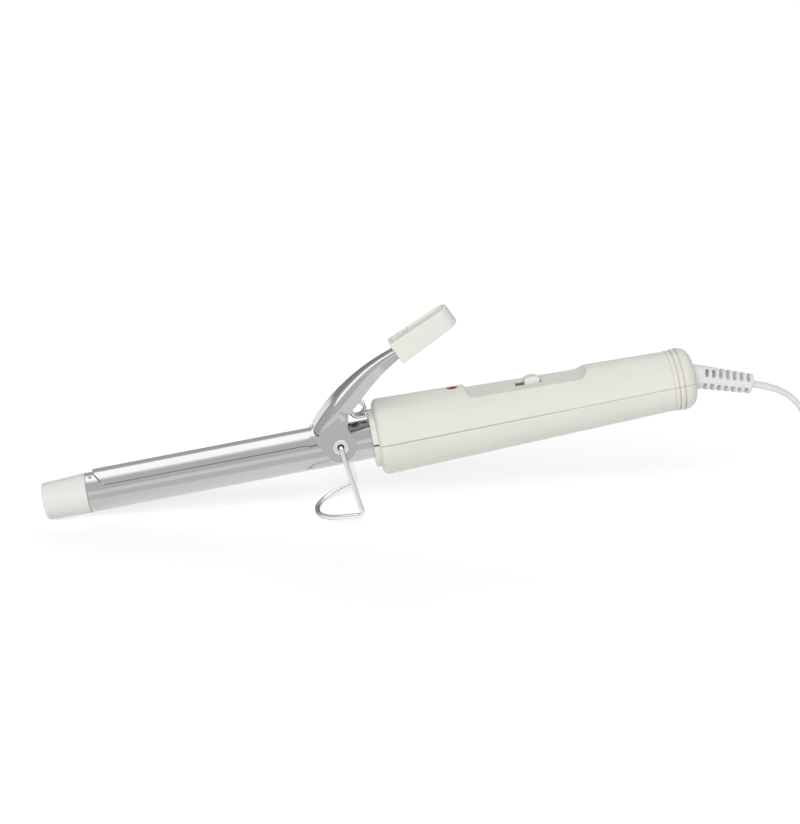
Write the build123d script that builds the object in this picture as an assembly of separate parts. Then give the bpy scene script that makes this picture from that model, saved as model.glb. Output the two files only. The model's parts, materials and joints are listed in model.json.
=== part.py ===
from build123d import *
import os
from math import acos, asin, atan, atan2, ceil, cos, degrees, hypot, pi, radians, sin, tan

# A curling iron, in millimetres. The iron's own pieces are drawn along its axis: X runs from the tip's end
# to the cord, Z is up across the axis and Y is sideways. The whole iron is then tilted until the tip's lower
# rim and the toe of the wire stand both touch the surface, with the handle in the air. The cord is drawn on
# that surface.

# Fits
push_gap = 0.05
running_gap = 0.05
loose_gap = 0.3

# Barrel and cool tip
barrel_d = 16.0
barrel_wall = 0.7
barrel_shown = 114.2
barrel_in_handle = 16.8
tip_length = 18.0
tip_end_d = 14.4
tip_edge_r = 1.0
tip_lip = 0.1
spigot_length = 9.0
tip_pin_d = 1.4
tip_pin_depth = 3.0
tip_pin_setback = 1.9
tip_pin_angle = 26.0
tip_pin_head = 0.45

# Heating parts in the barrel
heater_length = 70.0
heater_width = 6.5
heater_thickness = 2.4
heater_setback = 12.0
spreader_margin = 2.0

# Handle
collar_step = 3.7
collar_length = 2.2
collar_edge_r = 0.5
handle_front_d = 30.8
handle_front_r = 2.6
handle_rear_d = 24.2
handle_length = 129.4
handle_wall = 2.2
front_wall = 3.6
rear_wall = 5.6
rear_round = 5.2
band_setback = 9.7
band_width = 2.1
band_step = 0.16
band_groove = 0.5
band_groove_depth = 0.3
seam_width = 0.3
collar_seam_width = 0.6
seam_depth = 0.8

# Bush that carries the barrel
bush_d = 22.0
bush_length = 9.8
bush_web = 2.4

# Case screws and their bosses
boss_d = 6.4
front_boss = 25.0
rear_boss_setback = 23.4
screw_d = 2.6
screw_head_d = 4.8
screw_head_height = 2.2
screw_head_sink = 1.2
screw_slot_width = 0.8
screw_slot_depth = 0.8
screw_bite = 7.0

# Switch flat, switch and indicator
flat_start = 39.0
flat_length = 48.6
flat_depth = 3.2
flat_floor = 2.0
flat_front_lean = 30.0
flat_front_r = 0.8
flat_rear_r = 5.0
slot_start = 58.2
slot_width = 4.9
knob_length = 6.0
knob_width = 4.4
knob_rise = 2.9
knob_shoulder = 2.0
knob_front_gap = 0.5
knob_end_gap = 0.7
knob_travel = 3.2
knob_ribs = 9
knob_rib_depth = 0.2
knob_tail = 1.6
switch_length = 21.0
switch_width = 9.0
switch_height = 6.0
switch_corner_r = 0.8
terminal_inset = 3.0
terminal_length = 4.0
terminal_width = 3.0
terminal_thickness = 0.8
lens_setback = 33.0
lens_d = 4.7
lens_flange_d = 6.2
lens_flange = 0.9
lens_sink = 0.2
lens_edge_r = 0.9
lamp_d = 3.6
lamp_length = 8.0
lamp_end_r = 0.8

# Wires in the handle
wire_d = 1.6
wire_bend = 2.0
wire_side = 5.0
wire_z = -1.0
heater_tail = 2.2
wire_spread = 0.6
wire_in_barrel = 2.0
wire_swing = 9.0
wire_straight = 4.0
fuse_d = 3.6
fuse_length = 9.5
fuse_setback = 34.0

# Clamp pivot
pivot_setback = 12.8
pivot_z = 1.7
eyelet_d = 4.0
eyelet_bore = 2.8
eyelet_head_d = 6.4
eyelet_head = 1.0
eyelet_inside = 1.3

# Clamp: spoon, lever and thumb rest. Pairs are places from the pivot, along and across the iron.
spoon_gap = 0.3
spoon_wall = 0.7
spoon_half_angle = 60.0
spoon_start = 3.0
spoon_nose = 9.0
spoon_end = 6.8
lever_wall = 1.0
ear_gap = 0.65
ear_r = 6.4
ear_front = (-8.7, 2.3)
ear_nose = (-9.6, 4.6)
crease_low = (-6.4, 7.0)
crease_high = (2.4, 14.2)
ear_back = (5.4, 12.6)
ear_neck = (4.0, 6.6)
saddle_front = 12.7
saddle_rear = 6.5
saddle_margin = 4.0
saddle_scallop_r = 13.0
crest_start = (-9.4, 7.9)
crest_middle = (9.3, 24.3)
crest_end = (28.7, 33.2)
# Lever sections along the crest: share of its length, of its full width, height, and shoulder radius
lever_rows = [(0.0, 1.0, 5.6, 4.6), (0.26, 1.0, 7.6, 4.4), (0.52, 0.55, 7.2, 3.6), (0.76, 0.15, 5.6, 2.4)]
lever_end_half = 4.2
lever_end_height = 3.6
lever_end_r = 1.6
tang_length = 14.0
tang_height = 2.6
tang_half = 3.6
tang_r = 1.2
thumb_angle = 25.0
thumb_length = 27.0
thumb_width = 11.0
thumb_root_height = 9.4
thumb_end_height = 8.0
thumb_top_drop = 0.75
thumb_over_lever = 3.4
thumb_lap = 1.1
thumb_end_r = 5.0
thumb_edge_r = 0.6
thumb_rim = 1.3
thumb_sink = 0.7
thumb_rib_count = 3
thumb_rib_start = 4.6
thumb_rib_pitch = 2.3
thumb_rib_d = 1.3

# Torsion spring
spring_wire_d = 1.25
spring_mean_r = 3.0
spring_quarters = 13
spring_pitch = 1.8
spring_setback = 3.4
spring_over_collar = 1.5
spring_side = -2.0
spring_foot = 5.6
spring_arm = 8.0

# Wire stand. Pairs are places from the pivot, along and across the iron.
stand_wire_d = 1.9
stand_end_half = 7.2
stand_top_half = 12.0
stand_knee_half = 22.7
stand_toe_half = 11.5
stand_knee = (3.8, -25.3)
stand_toe = (-13.8, -27.0)
stand_hook_r = 1.7
stand_knee_r = 1.6
stand_toe_r = 19.0

# Strain relief
boot_root_d = 9.8
boot_end_d = 8.1
boot_length = 24.0
boot_bend = 18.5
boot_stand_off = 0.6
boot_end_r = 0.7
boot_flange_d = 13.0
boot_flange = 1.8
boot_web = 2.6
boot_windows = 7
boot_window = 1.5
boot_pitch = 2.9
boot_first_window = 3.4
boot_band_windows = 2
boot_band = 0.9

# Flat twin flex, its hank, tie and plug
cord_width = 4.8
cord_thickness = 2.4
cord_chamfer = 0.7
cord_twist_run = 32.0
cord_twist_steps = 8
hank_run = 70.0
hank_r = 17.75
hank_step = 3.15
hank_layer = 5.35
hank_layer_pairs = 2
hank_drawn_in = 7.0
hank_straight = 5.0
tail_straight = 11.0
tail_drop_run = 30.0
tie_width = 7.0
tie_thickness = 0.5
tie_side_gap = 0.5
tie_lift = 0.1
plug_width = 35.3
plug_thickness = 13.7
plug_length = 34.0
plug_front = 13.0
plug_neck = 9.0
plug_neck_width = 12.0
plug_neck_thickness = 9.0
plug_edge_r = 1.5
plug_waist_r = 6.0
pin_d = 4.0
pin_length = 19.0
pin_pitch = 19.0
pin_root = 6.0
pin_root_d = 3.4
pin_end_r = 1.2

# The cord's way from the boot to the surface: length of each run, and its fall below level in degrees. The
# first run follows the boot, and the steepest is as long as the fall needs.
first_run = 10.0
runs_down = [(11.0, 32.0), (11.0, 57.0)]
steepest = 70.0
runs_out = [(11.0, 57.0), (11.0, 32.0), (10.0, 9.0), (6.0, 0.0)]

# Places along the axis that follow from the sizes above
barrel_r = barrel_d / 2
collar_r = handle_front_d / 2 - collar_step
slot_length = knob_front_gap + knob_travel + knob_length + knob_end_gap
barrel_in_r = barrel_r - barrel_wall
x_collar = tip_length + barrel_shown
x_handle = x_collar + collar_length
x_rear = x_handle + handle_length
x_band = x_rear - band_setback
x_bush = x_handle + front_wall
x_cavity = x_bush + bush_length + bush_web
x_cavity_end = x_rear - rear_wall
x_barrel_end = x_handle + barrel_in_handle
x_pivot = x_collar - pivot_setback
x_flat = x_handle + flat_start
x_slot = x_handle + slot_start
x_lens = x_handle + lens_setback
x_heater = tip_length + heater_setback
x_heater_end = x_heater + heater_length
x_fuse = x_handle + fuse_setback
x_bosses = [x_handle + front_boss, x_rear - rear_boss_setback]
x_boot_inside = x_cavity_end - boot_flange
bore_r = barrel_r + loose_gap
ear_in = barrel_r + ear_gap
ear_out = ear_in + lever_wall
spoon_in_r = barrel_r + spoon_gap
spoon_out_r = spoon_in_r + spoon_wall
far = 2 * handle_front_d


def handle_r(x):
    """Outside radius of the tapered handle at a place along the axis."""
    share = (x - x_handle) / (x_band - x_handle)
    return handle_front_d / 2 + share * (handle_rear_d - handle_front_d) / 2


def flat_z(x):
    """Height of the switch flat, which runs parallel to the top of the taper."""
    return handle_r(x) - flat_depth


# Heights that follow from the handle's taper
roof_z = flat_z(x_flat + flat_length) - flat_floor
x_switch = x_slot + (slot_length - switch_length) / 2
switch_low = roof_z - switch_height
x_terminals = [x_switch + terminal_inset, x_switch + switch_length - terminal_inset]
terminal_mid = switch_low - terminal_length / 2
lens_top = handle_r(x_lens) - lens_sink
lens_seat = handle_r(x_lens) - handle_wall
x_knob = x_slot + slot_length - knob_end_gap - knob_length / 2


def rod_x(x0, x1, r, y=0.0, z=0.0):
    """A round bar along the iron's axis."""
    return Pos((x0 + x1) / 2, y, z) * Rot(0, 90, 0) * Cylinder(r, x1 - x0)


def rod_y(x, z, r, y0, y1):
    """A round bar across the iron."""
    return Pos(x, (y0 + y1) / 2, z) * Rot(90, 0, 0) * Cylinder(r, abs(y1 - y0))


def rod_z(x, y, r, z0, z1):
    """An upright round bar."""
    return Pos(x, y, (z0 + z1) / 2) * Cylinder(r, z1 - z0)


def block(x0, x1, half_width, z0, z1):
    """A plain block, as far to both sides of the middle plane."""
    return Pos((x0 + x1) / 2, 0, (z0 + z1) / 2) * Box(x1 - x0, 2 * half_width, z1 - z0)


def side_face(corners):
    """A face seen from the side, from rows of x, z and corner radius."""
    points = [(x, z) for x, z, r in corners]
    radii = [r for x, z, r in corners]
    return Plane.XZ * make_face(FilletPolyline(*points, radius=radii, close=True))


def turned(corners):
    """A body of revolution about the axis, from rows of x, radius and corner radius."""
    return revolve(side_face(corners), Axis.X)


def slab(face, half):
    """A side face made solid, as far to both sides."""
    return extrude(face, half, both=True)


def round_end(body, r, direction):
    """Rounds the last circular edge of a body along a direction."""
    rims = body.edges().filter_by(GeomType.CIRCLE)
    return fillet(rims.sort_by(lambda e: e.center().dot(direction))[-1], r)


def from_pivot(offset):
    """A place in the side view, measured from the clamp's pivot."""
    return Vector(x_pivot + offset[0], pivot_z + offset[1])


def upright(v, y=0.0):
    """A place of the side view, put into space."""
    return Vector(v.X, y, v.Y)


def tangent_point(centre, radius, point, turn):
    """Where a line from a point touches a circle; turn is 1 or -1 for its two sides."""
    away = point - centre
    angle = atan2(away.Y, away.X) + turn * acos(radius / away.length)
    return centre + Vector(cos(angle), sin(angle)) * radius


def biarc(p0, t0, p1, t1):
    """Two arcs that leave p0 along t0 and reach p1 along t1."""
    chord, both = p1 - p0, t0 + t1
    spread = 2 * (1 - t0.dot(t1))
    along = chord.dot(both)
    if spread < 1e-9:
        reach = chord.dot(chord) / (2 * along)
    else:
        reach = (-along + (along * along + spread * chord.dot(chord)) ** 0.5) / spread
    joint = (p0 + t0 * reach + p1 - t1 * reach) / 2
    half_way = p1 - t1 * reach - p0 - t0 * reach
    return [TangentArc(p0, joint, tangent=t0).edge(), TangentArc(joint, p1, tangent=half_way).edge()]


def path_points(edges, spacing):
    """Points at about even steps along the edges of a path."""
    points = []
    for edge in edges:
        count = ceil(edge.length / spacing)
        points += [edge.position_at(i / count) for i in range(count)]
    return points


def make_cool_tip():
    base_r, end_r = barrel_r + tip_lip, tip_end_d / 2
    spigot_r, x_spigot = barrel_in_r - push_gap, tip_length + spigot_length
    outside = [(0, 0, 0), (0, end_r, tip_edge_r), (tip_length, base_r, 0)]
    spigot = [(tip_length, spigot_r, 0), (x_spigot, spigot_r, 0.5), (x_spigot, 0, 0)]
    return turned(outside + spigot) - tip_pin_shank()


def tip_pin_shank():
    """The pin through the barrel's wall into the spigot, square to the axis."""
    x, low, high = tip_length + tip_pin_setback, barrel_r - tip_pin_depth, barrel_r + tip_pin_head
    return rod_z(x, 0, tip_pin_d / 2, low, high).rotate(Axis.X, tip_pin_angle)


def make_tip_pin():
    return round_end(tip_pin_shank(), tip_pin_head * 0.8, Vector(0, 0, 1))


def make_barrel():
    tube = rod_x(tip_length, x_barrel_end, barrel_r) - rod_x(tip_length - 1, x_barrel_end + 1, barrel_in_r)
    tube -= rod_y(x_pivot, pivot_z, eyelet_d / 2, -barrel_d, barrel_d)
    return tube - tip_pin_shank()


def make_heater():
    return block(x_heater, x_heater_end, heater_width / 2, -heater_thickness / 2, heater_thickness / 2)


def make_spreaders():
    """Two half-round blocks that press the heater plate and fill the barrel round it."""
    x0, x1 = x_heater - spreader_margin, x_heater_end + spreader_margin
    gap = heater_thickness / 2 + push_gap
    return rod_x(x0, x1, barrel_in_r - push_gap) - block(x0 - 1, x1 + 1, barrel_d, -gap, gap)


def make_bush():
    x0, x1 = x_bush + push_gap, x_bush + bush_length - push_gap
    return rod_x(x0, x1, bush_d / 2 - push_gap) - rod_x(x0 - 1, x1 + 1, barrel_r + push_gap)


def handle_outside(inset):
    """The handle's outside, drawn in by an inset: collar, round front, taper, two bands and round end."""
    collar = collar_r - inset
    rows = [(x_collar, 0, 0), (x_collar, collar, collar_edge_r), (x_handle, collar, 0)]
    rows += [(x_handle, handle_r(x_handle) - inset, handle_front_r), (x_band, handle_r(x_band) - inset, 0)]
    r, x = handle_r(x_band) - inset, x_band
    for band in range(2):
        r += band_step
        x_groove = x + band_width - band_groove
        rows += [(x, r, 0), (x_groove, r, 0), (x_groove, r - band_groove_depth, 0)]
        x += band_width
        rows += [(x, r - band_groove_depth, 0)]
    r += band_step
    return turned(rows + [(x, r, 0), (x_rear, r, rear_round), (x_rear, 0, 0)])


def flat_cut():
    """What the switch flat takes out of the handle: a leaning front wall, a floor and a scooped rear end."""
    x_end, lean = x_flat + flat_length, tan(radians(flat_front_lean))
    low, low_end = flat_z(x_flat), flat_z(x_end)
    corners = [(x_flat, low, flat_front_r), (x_end, low_end, flat_rear_r), (x_end, far, 0)]
    return slab(side_face(corners + [(x_flat - (far - low) * lean, far, 0)]), far)


def handle_hollow():
    """The hollow inside the two shells: barrel bore, bush seat, main room and the boot's way out."""
    front_r, rear_r = handle_r(x_cavity) - handle_wall, handle_r(x_cavity_end) - handle_wall
    room = turned([(x_cavity, 0, 0), (x_cavity, front_r, 1), (x_cavity_end, rear_r, 1), (x_cavity_end, 0, 0)])
    room -= block(x_flat - 2 * handle_wall, x_flat + flat_length + handle_wall, far, roof_z, far)
    seat = rod_x(x_bush, x_bush + bush_length, bush_d / 2)
    bore = rod_x(x_collar - 1, x_cavity + 1, bore_r)
    return room + seat + bore + rod_x(x_cavity_end - 1, x_rear + 1, boot_root_d / 2)


def seam_groove():
    """The fine groove round the handle where its two shells meet, wider at the collar."""
    seam = block(x_collar - 1, x_rear + 1, far, -seam_width / 2, seam_width / 2)
    seam += block(x_collar - 1, x_handle, far, -collar_seam_width / 2, collar_seam_width / 2)
    return seam - handle_outside(seam_depth)


def screw_seat(x):
    """Height of the shoulder that a case screw's head pulls against."""
    return screw_head_sink + screw_head_height - handle_r(x)


def handle_body():
    """Both shells in one, before they are parted."""
    whole = handle_outside(0) - handle_hollow()
    core = handle_outside(handle_wall / 2)
    for x in x_bosses:
        whole += rod_z(x, 0, boss_d / 2, -far, far) & core
    return whole - flat_cut() - seam_groove()


def make_upper_shell(whole):
    shell = whole & block(x_collar - 1, x_rear + 1, far, 0, far)
    for x in x_bosses:
        shell -= rod_z(x, 0, screw_d / 2, -1, screw_bite)
    shell -= block(x_slot, x_slot + slot_length, slot_width / 2, roof_z - 1, far)
    shell -= rod_z(x_lens, 0, lens_d / 2 + push_gap, 0, far)
    shell -= rod_z(x_lens, 0, lens_flange_d / 2 + push_gap, 0, lens_seat)
    return shell - spring_hole()


def make_lower_shell(whole):
    shell = whole & block(x_collar - 1, x_rear + 1, far, -far, 0)
    for x in x_bosses:
        shell -= rod_z(x, 0, screw_d / 2 + push_gap, -far, 1)
        shell -= rod_z(x, 0, screw_head_d / 2 + push_gap, -far, screw_seat(x))
    return shell


def make_case_screws():
    screws = Part()
    for x in x_bosses:
        seat = screw_seat(x)
        low = seat - screw_head_height
        head = round_end(rod_z(x, 0, screw_head_d / 2, low, seat), 0.5, Vector(0, 0, -1))
        for turn in (0, 90):
            cross = Rot(0, 0, turn) * Box(screw_head_d * 0.6, screw_slot_width, 2 * screw_slot_depth)
            head -= Pos(x, 0, low) * cross
        screws += head + rod_z(x, 0, screw_d / 2, seat, screw_bite)
    return screws


def make_lens():
    flange = rod_z(x_lens, 0, lens_flange_d / 2, lens_seat - lens_flange, lens_seat)
    return flange + round_end(rod_z(x_lens, 0, lens_d / 2, lens_seat, lens_top), lens_edge_r, Vector(0, 0, 1))


def make_lamp():
    top = lens_seat - lens_flange
    return round_end(rod_z(x_lens, 0, lamp_d / 2, top - lamp_length, top), lamp_end_r, Vector(0, 0, -1))


def make_switch_body():
    body = block(x_switch, x_switch + switch_length, switch_width / 2, switch_low, roof_z)
    body = fillet(body.edges().filter_by(Axis.Z), switch_corner_r)
    way_low = roof_z - knob_tail - loose_gap
    return body - block(x_slot, x_slot + slot_length, slot_width / 2, way_low, roof_z + 1)


def make_terminals():
    tabs = Part()
    for x in x_terminals:
        half = terminal_thickness / 2
        tabs += block(x - half, x + half, terminal_width / 2, switch_low - terminal_length, switch_low)
    return tabs


def make_knob():
    """A small block with an arched, finely ribbed top and a tail down into the switch."""
    half, floor = knob_length / 2, flat_z(x_knob)
    low, shoulder, top = roof_z - knob_tail, floor + knob_shoulder, floor + knob_rise
    x0, x1 = x_knob - half, x_knob + half
    arch = ThreePointArc((x1, shoulder), (x_knob, top), (x0, shoulder))
    outline = arch + Polyline((x0, shoulder), (x0, low), (x1, low), (x1, shoulder))
    knob = slab(Plane.XZ * make_face(outline), knob_width / 2)
    rise = knob_rise - knob_shoulder
    arch_r = (rise * rise + half * half) / (2 * rise)
    spread = 2 * asin(half / arch_r)
    cut = 2 * knob_rib_depth
    for rib in range(knob_ribs):
        angle = spread * ((rib + 0.5) / knob_ribs - 0.5)
        groove = Rot(0, degrees(angle) + 45, 0) * Box(cut, 2 * knob_width, cut)
        knob -= Pos(x_knob + arch_r * sin(angle), 0, top - arch_r * (1 - cos(angle))) * groove
    return knob


def wire_along(*points):
    """A round wire along straight runs with equal bends."""
    path = FilletPolyline(*points, radius=[wire_bend] * (len(points) - 2))
    return sweep(Plane(origin=path @ 0, z_dir=path % 0) * Circle(wire_d / 2), path)


def barrel_wire_points(side):
    """The way of a wire from the heater, along the barrel and out to one side of the handle."""
    x_out = x_barrel_end - wire_in_barrel
    return [(x_heater_end, side * heater_tail, 0), (x_out, side * (heater_tail + wire_spread), 0),
            (x_out + wire_swing, side * wire_side, wire_z)]


def boot_wire_points(side):
    """The way of a wire from one side of the handle in to the boot."""
    core, x_in = side * cord_width / 4, x_boot_inside - wire_straight
    return [(x_in - wire_swing, side * wire_side, wire_z), (x_in, core, 0), (x_boot_inside, core, 0)]


def make_switched_lead():
    """From the heater to the fuse, and from the fuse to the front terminal of the switch."""
    x_end, x_tab = x_fuse + fuse_length, x_terminals[0] - terminal_thickness / 2
    step = (x_tab - x_end) / 3
    to_fuse = wire_along(*barrel_wire_points(-1), (x_fuse, -wire_side, wire_z))
    on = wire_along((x_end, -wire_side, wire_z), (x_end + step, -wire_side, wire_z),
                    (x_tab - step, 0, terminal_mid), (x_tab, 0, terminal_mid))
    return Part() + to_fuse + on


def make_fuse():
    body = rod_x(x_fuse, x_fuse + fuse_length, fuse_d / 2, -wire_side, wire_z)
    return chamfer(body.edges().filter_by(GeomType.CIRCLE), 0.5)


def make_neutral_lead():
    return wire_along(*barrel_wire_points(1), *boot_wire_points(1))


def make_live_lead():
    x_tab = x_terminals[1] + terminal_thickness / 2
    x_out = x_tab + wire_straight
    start = [(x_tab, 0, terminal_mid), (x_out, 0, terminal_mid), (x_out + wire_swing, -wire_side, wire_z)]
    return wire_along(*start, *boot_wire_points(-1))


def make_eyelets():
    """Two hollow rivets in the barrel's sides, with rounded heads outside the clamp's ears."""
    pair = Part()
    face = ear_out + running_gap
    for side in (-1, 1):
        shank = rod_y(x_pivot, pivot_z, eyelet_d / 2, side * (barrel_r - eyelet_inside), side * face)
        head = rod_y(x_pivot, pivot_z, eyelet_head_d / 2, side * face, side * (face + eyelet_head))
        head = round_end(head, eyelet_head * 0.7, Vector(0, side, 0))
        pair += shank + head - rod_y(x_pivot, pivot_z, eyelet_bore / 2, 0, side * 2 * face)
    return pair


def wedge(half_angle, x0, x1):
    """Everything within an angle of straight up from the axis."""
    y, z = far * sin(radians(half_angle)), far * cos(radians(half_angle))
    face = Plane.YZ * make_face(Polyline((0, 0), (y, z), (0, 2 * far), (-y, z), close=True))
    return Pos(x0, 0, 0) * extrude(face, x1 - x0)


def make_spoon():
    """A strip of tube over the barrel with a rounded tongue in front."""
    x0, x1 = tip_length + spoon_start, x_pivot - spoon_end
    ring = rod_x(x0, x1, spoon_out_r) - rod_x(x0 - 1, x1 + 1, spoon_in_r)
    plate = ring & wedge(spoon_half_angle, x0 - 1, x1 + 1)
    nose = Pos(x0 + spoon_nose, 0) * Ellipse(spoon_nose, spoon_out_r)
    tail = Pos((x0 + spoon_nose + x1) / 2, 0) * Rectangle(x1 - x0 - spoon_nose, 2 * spoon_out_r)
    return plate & extrude(nose + tail, 2 * spoon_out_r)


crest = ThreePointArc(from_pivot(crest_start), from_pivot(crest_middle), from_pivot(crest_end))
thumb_along = Vector(cos(radians(thumb_angle)), sin(radians(thumb_angle)))
thumb_up = Vector(-sin(radians(thumb_angle)), cos(radians(thumb_angle)))
thumb_root = from_pivot(crest_end) - thumb_along * thumb_lap
thumb_root += thumb_up * (thumb_over_lever - thumb_root_height / 2)


def lever_loft(inset):
    """The pressed lever as a solid: sections along its crest, wide and round-shouldered over the spoon,
    narrow and flat at the thumb rest. With an inset it is the hollow, which is open below."""
    places = []
    for share, full, height, r in lever_rows + [(1.0, 0.0, lever_end_height, lever_end_r)]:
        half = lever_end_half + full * (ear_out - lever_end_half)
        places.append((upright(crest @ share), upright(crest % share), half, height, r))
    tang = thumb_root + thumb_along * (thumb_lap + tang_length) + thumb_up * (tang_height / 2)
    places.append((upright(tang), upright(thumb_along), tang_half, tang_height, tang_r))
    faces = []
    for place, along, half, height, r in places:
        w, low = half - inset, -height - inset
        corners = [(-w, low), (w, low), (w, -inset), (-w, -inset)]
        bend = r - 0.8 * inset
        shape = make_face(FilletPolyline(*corners, radius=[0, 0, bend, bend], close=True))
        faces.append(Plane(origin=place, x_dir=(0, 1, 0), z_dir=along) * shape)
    return loft(faces)


def ear_outline():
    """A flat ear from the side: round about the pivot, with its upper edge along the lever's crease."""
    centre = from_pivot((0, 0))
    front, neck = from_pivot(ear_front), from_pivot(ear_neck)
    low_front = tangent_point(centre, ear_r, front, 1)
    low_back = tangent_point(centre, ear_r, neck, -1)
    top = [from_pivot(p) for p in (ear_nose, crease_low, crease_high, ear_back)]
    edges = Polyline(low_front, front, *top, neck, low_back)
    edges += ThreePointArc(low_back, from_pivot((0, -ear_r)), low_front)
    return Plane.XZ * make_face(edges)


def make_lever():
    channel = lever_loft(0) - lever_loft(lever_wall)
    ears = slab(ear_outline(), ear_out) - slab(ear_outline(), ear_in)
    x0, x1 = x_pivot - saddle_front, x_pivot - saddle_rear
    saddle = rod_x(x0, x1, spoon_out_r + lever_wall) & wedge(spoon_half_angle + saddle_margin, x0 - 1, x1 + 1)
    saddle -= rod_z(from_pivot(crest_start).X - saddle_scallop_r, 0, saddle_scallop_r, -far, far)
    lever = channel + ears + saddle
    lever -= rod_x(x0 - 1, x_pivot - spoon_end, spoon_out_r)
    lever -= rod_x(x_pivot - spoon_end, x_pivot + 2 * ear_r, ear_in)
    return lever - rod_y(x_pivot, pivot_z, eyelet_d / 2 + running_gap, -2 * ear_out, 2 * ear_out)


def make_thumb_rest():
    """A moulded grip on the lever's end: tapered, round at the free end, with a sunk top and cross ribs."""
    top, top_end = thumb_root_height / 2, thumb_root_height / 2 - thumb_top_drop
    low_end = top_end - thumb_end_height
    corners = [(0, -top, 0), (thumb_length, low_end, 0), (thumb_length, top_end, 0), (0, top, 0)]
    grip = slab(side_face(corners), thumb_width / 2)
    grip = fillet(grip.faces().sort_by(Axis.X)[-1].edges().filter_by(Axis.Z), thumb_end_r)
    grip = fillet(grip.edges(), thumb_edge_r)
    on_top = Pos(0, 0, top) * Rot(0, degrees(atan(thumb_top_drop / thumb_length)), 0)
    length, width = thumb_length - 2 * thumb_rim, thumb_width - 2 * thumb_rim
    sink = extrude(RectangleRounded(length, width, thumb_end_r - thumb_rim), thumb_sink, both=True)
    grip -= on_top * Pos(thumb_length / 2, 0, 0) * sink
    for rib in range(thumb_rib_count):
        x = thumb_rib_start + rib * thumb_rib_pitch
        grip += on_top * rod_y(x, -thumb_sink, thumb_rib_d / 2, -width / 2, width / 2)
    seat = Pos(*upright(thumb_root)) * Rot(0, -thumb_angle, 0)
    return seat * grip - lever_loft(0)


spring_centre = Vector(x_collar - spring_setback, collar_r + spring_over_collar)
spring_rise = spring_pitch / (2 * pi)


def spring_place(quarter):
    """Place and direction on the spring's coil, which starts at the bottom and winds forward and up."""
    angle = -pi / 2 - quarter * pi / 2
    place = upright(spring_centre, spring_side + spring_pitch * quarter / 4)
    place += Vector(spring_mean_r * cos(angle), 0, spring_mean_r * sin(angle))
    return place, Vector(spring_mean_r * sin(angle), spring_rise, -spring_mean_r * cos(angle)).normalized()


def spring_foot_end():
    """The end of the spring's lower arm, inside the handle's collar."""
    place, along = spring_place(0)
    return place - along * ((x_collar + spring_foot - place.X) / -along.X)


def spring_hole():
    end, along = spring_foot_end(), spring_place(0)[1]
    deep = Plane(origin=end - along * loose_gap, z_dir=along)
    return Solid.make_cylinder(spring_wire_d / 2 + loose_gap, 2 * spring_foot, deep)


def make_spring():
    """One wire: a lower arm held by the collar, the coil, and an upper arm that lifts the lever."""
    places = [spring_place(quarter) for quarter in range(spring_quarters + 1)]
    edges = [Line(spring_foot_end(), places[0][0]).edge()]
    for (p0, t0), (p1, t1) in zip(places, places[1:]):
        edges += biarc(p0, t0, p1, t1)
    last, up = places[-1]
    edges.append(Line(last, last + up * spring_arm).edge())
    path = Wire(edges)
    gap = least_round_gap(edges)
    print("spring: least gap to itself", round(gap, 2), "mm, wire", round(path.length), "mm")
    return sweep(Plane(origin=path @ 0, z_dir=path % 0) * Circle(spring_wire_d / 2), path)


def least_round_gap(edges):
    """Least clear gap between different turns of a round wire."""
    spacing = 0.5
    points = path_points(edges, spacing)
    apart = int(pi * spring_mean_r / spacing)
    gaps = [(q - p).length for i, p in enumerate(points) for q in points[i + apart:]]
    return min(gaps) - spring_wire_d


def make_stand():
    """One bent wire: two ends in the eyelets, two legs that spread, and a toe across the front."""
    pivot, knee, toe = from_pivot((0, 0)), from_pivot(stand_knee), from_pivot(stand_toe)
    half = [upright(pivot, -stand_end_half), upright(pivot, -stand_top_half), upright(knee, -stand_knee_half),
            upright(toe, -stand_toe_half)]
    points = half + [Vector(p.X, -p.Y, p.Z) for p in reversed(half)]
    bends = [stand_hook_r, stand_knee_r, stand_toe_r]
    path = FilletPolyline(*points, radius=bends + bends[::-1])
    return sweep(Plane(origin=path @ 0, z_dir=path % 0) * Circle(stand_wire_d / 2), path)


boot_place = Pos(x_rear + boot_stand_off, 0, 0) * Rot(0, boot_bend, 0)


def make_strain_relief():
    """A bent, slotted boot: a flange inside the handle, a neck through its end wall and a springy tail."""
    root_r, end_r = boot_root_d / 2, boot_end_d / 2
    tail = turned([(0, 0, 0), (0, root_r, 0), (boot_length, end_r, boot_end_r), (boot_length, 0, 0)])
    for k in range(boot_windows):
        x = boot_first_window + k * boot_pitch
        roof = root_r - boot_band if k < boot_band_windows else far
        tail -= block(x, x + boot_window, far, boot_web / 2, roof)
        tail -= block(x, x + boot_window, far, -far, -boot_web / 2)
    neck_r = root_r - push_gap
    x_knuckle = x_rear + boot_stand_off
    neck = rod_x(x_cavity_end, x_knuckle, neck_r) + rod_x(x_boot_inside, x_cavity_end, boot_flange_d / 2)
    return neck + Pos(x_knuckle, 0, 0) * Sphere(neck_r) + boot_place * tail


def resting_tilt():
    """The tilt, in degrees, at which the tip's lower rim and the stand's toe touch one flat surface."""
    slope = atan((barrel_r + tip_lip - tip_end_d / 2) / tip_length)
    rim_z = tip_edge_r / cos(slope) - tip_edge_r * tan(slope) - tip_end_d / 2
    toe = from_pivot(stand_toe)
    dx, dz = toe.X - tip_edge_r, toe.Y - rim_z
    return degrees(asin((stand_wire_d / 2 - tip_edge_r) / hypot(dx, dz)) - atan2(dz, dx))


tilt = resting_tilt()

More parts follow.
